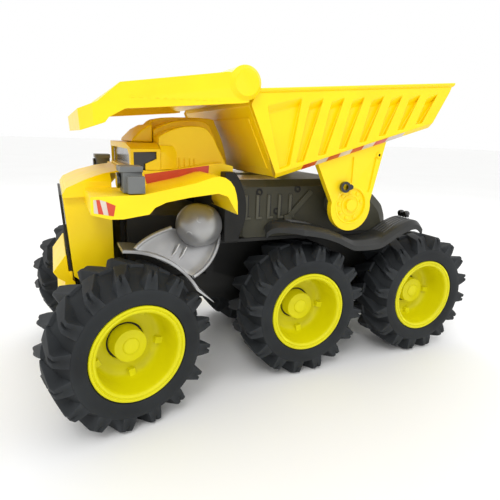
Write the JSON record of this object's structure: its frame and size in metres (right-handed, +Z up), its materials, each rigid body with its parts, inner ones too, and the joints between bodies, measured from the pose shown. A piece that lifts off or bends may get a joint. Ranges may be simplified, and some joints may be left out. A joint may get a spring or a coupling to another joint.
{
  "type": "toy dump truck",
  "caption": "Toy six-wheel dump truck with steered front axle, low cab under a bed canopy, and a ribbed tipping bed",
  "frame": {"origin": "on the floor, at the middle of the bounding box in X and Y", "axes": "+X forward (cab end), +Y left, +Z up; the tyres stand on Z = 0"},
  "size_m": [0.4368, 0.2676, 0.272],
  "materials": {
    "body_yellow": "bright yellow moulded plastic, satin to gloss",
    "rim_plastic": "lemon yellow moulded plastic",
    "tyre_rubber": "matt black soft plastic with deep lugs",
    "black_plastic": "black moulded plastic",
    "chassis_grey": "dark olive grey moulded plastic",
    "lamp_grey": "mid grey moulded plastic",
    "lens_black": "shiny black",
    "smoked_window": "smoke grey window insert, not see-through",
    "silver_plastic": "silver painted plastic",
    "steel_pin": "steel rod"
  },
  "bodies": {
    "root": {"chassis_frame": "black_plastic", "chassis_housing": "chassis_grey", "rear_fender_left": "black_plastic", "rear_fender_right": "black_plastic", "wheel_arch_liner_left": "black_plastic", "wheel_arch_liner_right": "black_plastic", "front_axle_beam": "black_plastic", "kingpin_left": "steel_pin", "kingpin_right": "steel_pin", "front_body": "body_yellow", "cab_shell": "body_yellow", "cab_glazing": "smoked_window", "engine_dome": "body_yellow", "roof_crest": "body_yellow", "grille": "black_plastic", "front_bumper": "body_yellow", "headlamp_left": "lamp_grey", "headlamp_right": "lamp_grey", "headlamp_lens_left": "lens_black", "headlamp_lens_right": "lens_black", "strut_cover_left": "silver_plastic", "strut_cover_right": "silver_plastic", "tail_lamps_left": "black_plastic", "tail_lamps_right": "black_plastic", "pivot_pin_left": "steel_pin", "pivot_pin_right": "steel_pin"},
    "bed": {"bed_tub": "body_yellow", "bed_canopy": "body_yellow", "bed_bracket_left": "body_yellow", "bed_bracket_right": "body_yellow", "eye_peg_left": "black_plastic"},
    "mid_wheels": {"mid_axle": "steel_pin", "mid_left_tyre": "tyre_rubber", "mid_left_rim": "rim_plastic", "mid_left_hub_cap": "rim_plastic", "mid_right_tyre": "tyre_rubber", "mid_right_rim": "rim_plastic", "mid_right_hub_cap": "rim_plastic"},
    "rear_wheels": {"rear_axle": "steel_pin", "rear_left_tyre": "tyre_rubber", "rear_left_rim": "rim_plastic", "rear_left_hub_cap": "rim_plastic", "rear_right_tyre": "tyre_rubber", "rear_right_rim": "rim_plastic", "rear_right_hub_cap": "rim_plastic"},
    "knuckle_left": {"knuckle_left": "black_plastic"},
    "knuckle_right": {"knuckle_right": "black_plastic"},
    "tie_rod": {"tie_rod": "black_plastic"},
    "front_left_wheel": {"front_left_tyre": "tyre_rubber", "front_left_rim": "rim_plastic", "front_left_hub_cap": "rim_plastic"},
    "front_right_wheel": {"front_right_tyre": "tyre_rubber", "front_right_rim": "rim_plastic", "front_right_hub_cap": "rim_plastic"}
  },
  "joints": [
    {"name": "bed_tip", "type": "hinge", "parent": "root", "child": "bed", "pos_m": [-0.05582, 0, 0.16], "axis": [0, -1, 0], "range_deg": [0, 50]},
    {"name": "mid_axle_spin", "type": "hinge", "parent": "root", "child": "mid_wheels", "pos_m": [-0.01682, 0, 0.062], "axis": [0, 1, 0], "continuous": true},
    {"name": "rear_axle_spin", "type": "hinge", "parent": "root", "child": "rear_wheels", "pos_m": [-0.15642, 0, 0.062], "axis": [0, 1, 0], "continuous": true},
    {"name": "steer_left", "type": "hinge", "parent": "root", "child": "knuckle_left", "pos_m": [0.15058, 0.0844, 0.062], "axis": [0, 0, 1], "range_deg": [-28.4, 1.6]},
    {"name": "steer_right", "type": "hinge", "parent": "root", "child": "knuckle_right", "pos_m": [0.15058, -0.0844, 0.062], "axis": [0, 0, 1], "range_deg": [-28.4, 1.6]},
    {"name": "tie_rod_slide", "type": "slide", "parent": "root", "child": "tie_rod", "axis": [0, 1, 0], "range_m": [-0.0006, 0.0086]},
    {"name": "front_left_spin", "type": "hinge", "parent": "knuckle_left", "child": "front_left_wheel", "pos_m": [0.15058, 0.0844, 0.062], "axis": [-0.2317, 0.9728, 0], "continuous": true},
    {"name": "front_right_spin", "type": "hinge", "parent": "knuckle_right", "child": "front_right_wheel", "pos_m": [0.15058, -0.0844, 0.062], "axis": [-0.2317, 0.9728, 0], "continuous": true}
  ],
  "couplings": [
    {"joint": "steer_right", "follows": "steer_left", "ratio": 1},
    {"joint": "tie_rod_slide", "follows": "steer_left", "m_per_rad": -0.01682}
  ]
}
